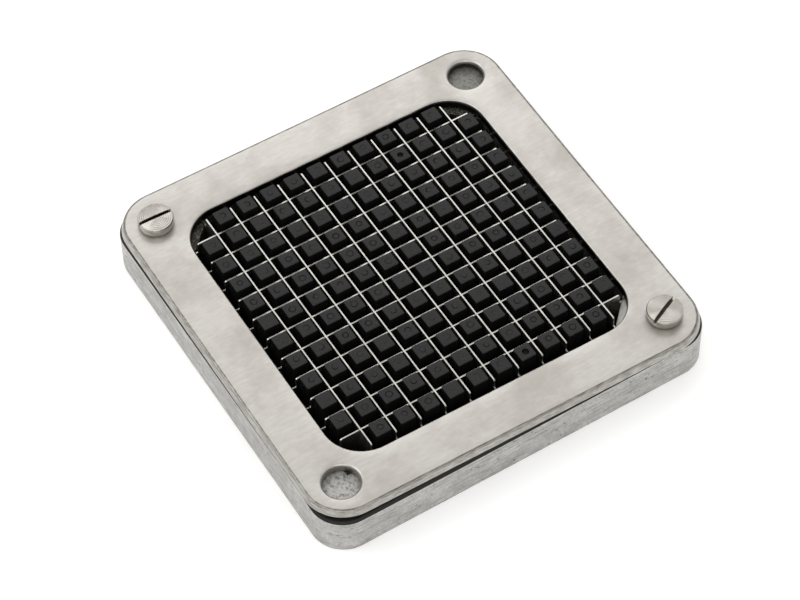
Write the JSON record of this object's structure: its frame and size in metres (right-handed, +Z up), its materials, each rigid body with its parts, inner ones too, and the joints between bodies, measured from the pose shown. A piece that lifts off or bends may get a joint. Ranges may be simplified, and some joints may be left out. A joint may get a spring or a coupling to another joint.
{
  "type": "vegetable dicer blade and push block",
  "caption": "Square dicer: a cast frame with crossed blades under a pressed steel cover, nested over a push block of square fingers.",
  "frame": {"origin": "middle of the carrier's underside, on the plane that the carrier and the frame both stand on", "axes": "+Z up through the blade grid; +Y along the upper blades; +X along the lower blades"},
  "size_m": [0.153, 0.153, 0.0235],
  "materials": {
    "carrier_casting": "as cast, lightly tumbled",
    "frame_casting": "as cast, lightly tumbled",
    "finger_plastic": "moulded, matt",
    "screw_steel": "turned and polished",
    "cover_steel": "satin, lightly worn",
    "blade_steel": "ground bright"
  },
  "bodies": {
    "push_block": {"block_carrier": "carrier_casting", "finger_block": "finger_plastic", "block_screws": "screw_steel"},
    "blade_assembly": {"blade_frame": "frame_casting", "cover_plate": "cover_steel", "upper_blade_01": "blade_steel", "upper_blade_02": "blade_steel", "upper_blade_03": "blade_steel", "upper_blade_04": "blade_steel", "upper_blade_05": "blade_steel", "upper_blade_06": "blade_steel", "upper_blade_07": "blade_steel", "upper_blade_08": "blade_steel", "upper_blade_09": "blade_steel", "upper_blade_10": "blade_steel", "upper_blade_11": "blade_steel", "lower_blade_01": "blade_steel", "lower_blade_02": "blade_steel", "lower_blade_03": "blade_steel", "lower_blade_04": "blade_steel", "lower_blade_05": "blade_steel", "lower_blade_06": "blade_steel", "lower_blade_07": "blade_steel", "lower_blade_08": "blade_steel", "lower_blade_09": "blade_steel", "lower_blade_10": "blade_steel", "lower_blade_11": "blade_steel"},
    "left_screw": {"cover_screw_left": "screw_steel"},
    "right_screw": {"cover_screw_right": "screw_steel"}
  },
  "joints": [
    {"name": "blade_lift", "type": "slide", "parent": "push_block", "child": "blade_assembly", "axis": [0, 0, 1], "range_m": [0, 0.04]},
    {"name": "left_screw_turn", "type": "hinge", "parent": "blade_assembly", "child": "left_screw", "pos_m": [-0.0629, 0.0629, 0.0199], "axis": [0, 0, 1], "continuous": true},
    {"name": "right_screw_turn", "type": "hinge", "parent": "blade_assembly", "child": "right_screw", "pos_m": [0.0629, -0.0629, 0.0199], "axis": [0, 0, 1], "continuous": true}
  ]
}
